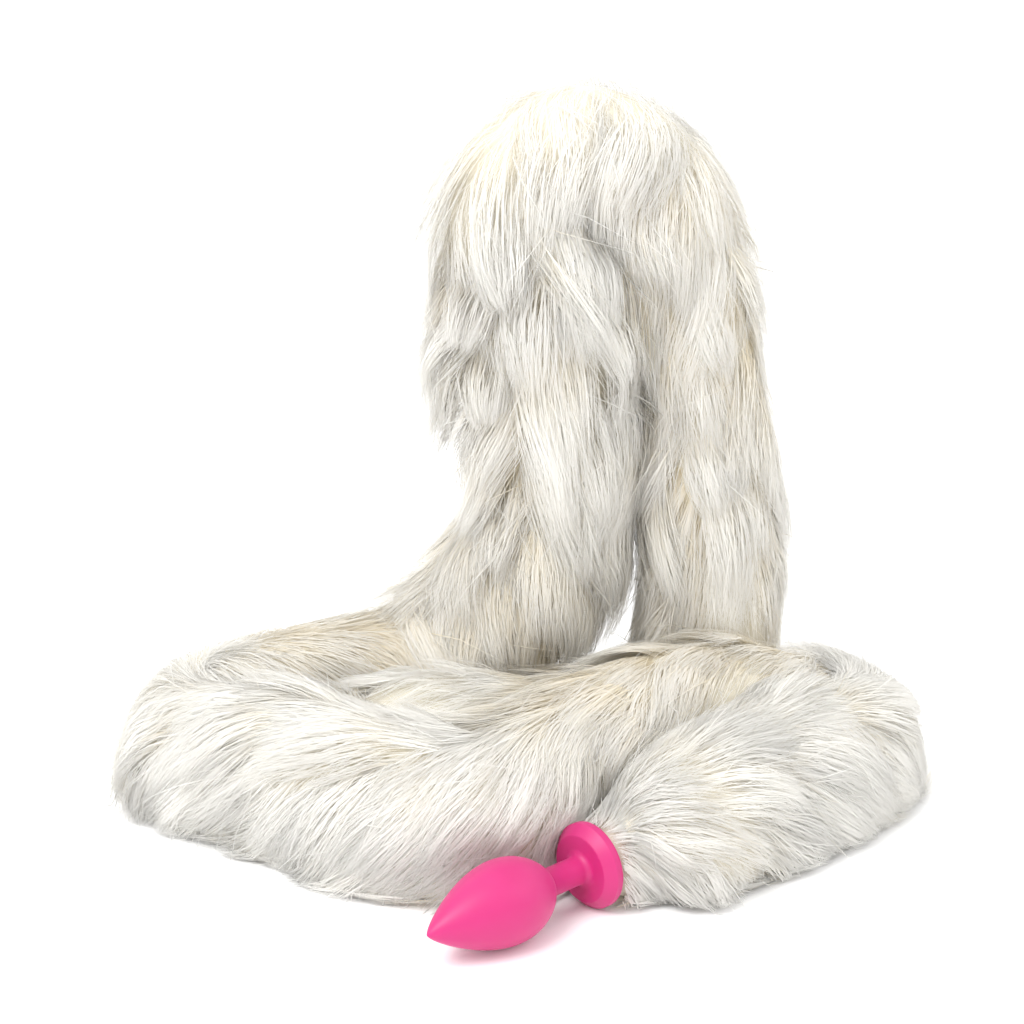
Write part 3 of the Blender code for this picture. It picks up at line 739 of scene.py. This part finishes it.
def pile_material():
    """Soft acrylic pile, silky along its length, lit by the direction that the pile faces."""
    material, shader, nodes, links = new_material("white_pile")
    place = nodes.new("ShaderNodeUVMap")
    place.uv_map = "strand"
    split = nodes.new("ShaderNodeSeparateXYZ")
    links.new(place.outputs["UV"], split.inputs["Vector"])
    colour = nodes.new("ShaderNodeGroup")
    colour.node_tree = PILE_COLOUR
    # The root's cream is partly the pile's own colour and partly painted shade for the roots low in the
    # pile.
    colour.inputs["Root"].default_value = (0.82, 0.74, 0.56, 1.0)
    colour.inputs["Cream"].default_value = (0.93, 0.87, 0.74, 1.0)
    colour.inputs["White"].default_value = (0.95, 0.94, 0.91, 1.0)
    links.new(split.outputs["X"], colour.inputs["Along"])
    links.new(split.outputs["Y"], colour.inputs["Tone and shade"])
    links.new(colour.outputs["Colour"], shader.inputs["Base Color"])
    facing = nodes.new("ShaderNodeAttribute")
    facing.attribute_name = "pile_normal"
    seen_from = nodes.new("ShaderNodeNewGeometry")
    turned = nodes.new("ShaderNodeMapRange")
    turned.inputs["To Min"].default_value = 1.0
    turned.inputs["To Max"].default_value = -1.0
    links.new(seen_from.outputs["Backfacing"], turned.inputs["Value"])
    towards = nodes.new("ShaderNodeVectorMath")
    towards.operation = "SCALE"
    links.new(facing.outputs["Vector"], towards.inputs[0])
    links.new(turned.outputs["Result"], towards.inputs["Scale"])
    links.new(towards.outputs["Vector"], shader.inputs["Normal"])
    shader.inputs["Roughness"].default_value = 0.55
    shader.inputs["Specular IOR Level"].default_value = 0.35
    shader.inputs["Sheen Weight"].default_value = 0.5
    shader.inputs["Sheen Roughness"].default_value = 0.5
    through = nodes.new("ShaderNodeBsdfTranslucent")
    links.new(colour.outputs["Colour"], through.inputs["Color"])
    links.new(towards.outputs["Vector"], through.inputs["Normal"])
    both = nodes.new("ShaderNodeMixShader")
    both.inputs["Fac"].default_value = 0.50
    links.new(shader.outputs["BSDF"], both.inputs[1])
    links.new(through.outputs["BSDF"], both.inputs[2])
    links.new(both.outputs["Shader"], nodes["Material Output"].inputs["Surface"])
    return material


def build_pile():
    """The pieces of pile, each over an equal share of the backing."""
    rng = np.random.default_rng(PILE_SEED)
    material = pile_material()
    area = np.cumsum(PATH[:, 3])
    ends = np.interp(np.linspace(0, area[-1], len(PILE_PIECES) + 1), area, np.arange(len(PATH)))
    for name, low, high in zip(PILE_PIECES, ends[:-1], ends[1:]):
        strands = strands_of(low, high, STRANDS, rng)
        piece = pile_piece(name, *strands, rng)
        piece.data.materials.append(material)
        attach(piece, "root")
        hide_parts("fur_tail")


build_pile()

# Stage. A plain white floor under even studio light: a broad soft box high on the left, a
# smaller one on the right, and a pale surround.
floor_mesh = bpy.data.meshes.new("floor")
floor_mesh.from_pydata([(-6, -6, 0), (6, -6, 0), (6, 6, 0), (-6, 6, 0)], [], [(0, 1, 2, 3)])
floor = bpy.data.objects.new("floor", floor_mesh)
bpy.context.scene.collection.objects.link(floor)
floor_material, floor_shader, _, _ = new_material("white_floor")
floor_shader.inputs["Base Color"].default_value = (0.97, 0.97, 0.97, 1.0)
floor_shader.inputs["Roughness"].default_value = 0.9
floor_mesh.materials.append(floor_material)

world = bpy.data.worlds.new("studio")
world.use_nodes = True
world.node_tree.nodes["Background"].inputs["Color"].default_value = (1.0, 1.0, 1.0, 1.0)
world.node_tree.nodes["Background"].inputs["Strength"].default_value = 1.24
bpy.context.scene.world = world
bpy.context.scene.view_settings.view_transform = "Standard"


def soft_box(name, place, size, watts):
    """A square area light that faces the middle of the tail."""
    light = bpy.data.lights.new(name, "AREA")
    light.size = size
    light.energy = watts
    lamp = bpy.data.objects.new(name, light)
    lamp.location = place
    aim = Vector((0.0, 0.0, 0.1)) - Vector(place)
    lamp.rotation_euler = aim.to_track_quat("-Z", "Y").to_euler()
    bpy.context.scene.collection.objects.link(lamp)


soft_box("soft_box_left", (-0.6, -0.7, 1.3), 0.8, 16.0)
soft_box("soft_box_right", (1.0, -0.3, 0.9), 0.8, 2.0)

# Camera. It stands 0.68 m from the tail, a little over its arch, and looks 16.5 degrees down.
CAMERA_PLACE = Vector((SHIFT[0], -0.6549 + SHIFT[1], 0.3010))
CAMERA_PITCH = math.radians(16.5)
camera_data = bpy.data.cameras.new("camera")
camera_data.sensor_width = 36.0
camera_data.lens = 67.2
camera = bpy.data.objects.new("camera", camera_data)
camera.location = CAMERA_PLACE
camera.rotation_euler = (math.radians(90) - CAMERA_PITCH, 0.0, 0.0)
bpy.context.scene.collection.objects.link(camera)
bpy.context.scene.camera = camera
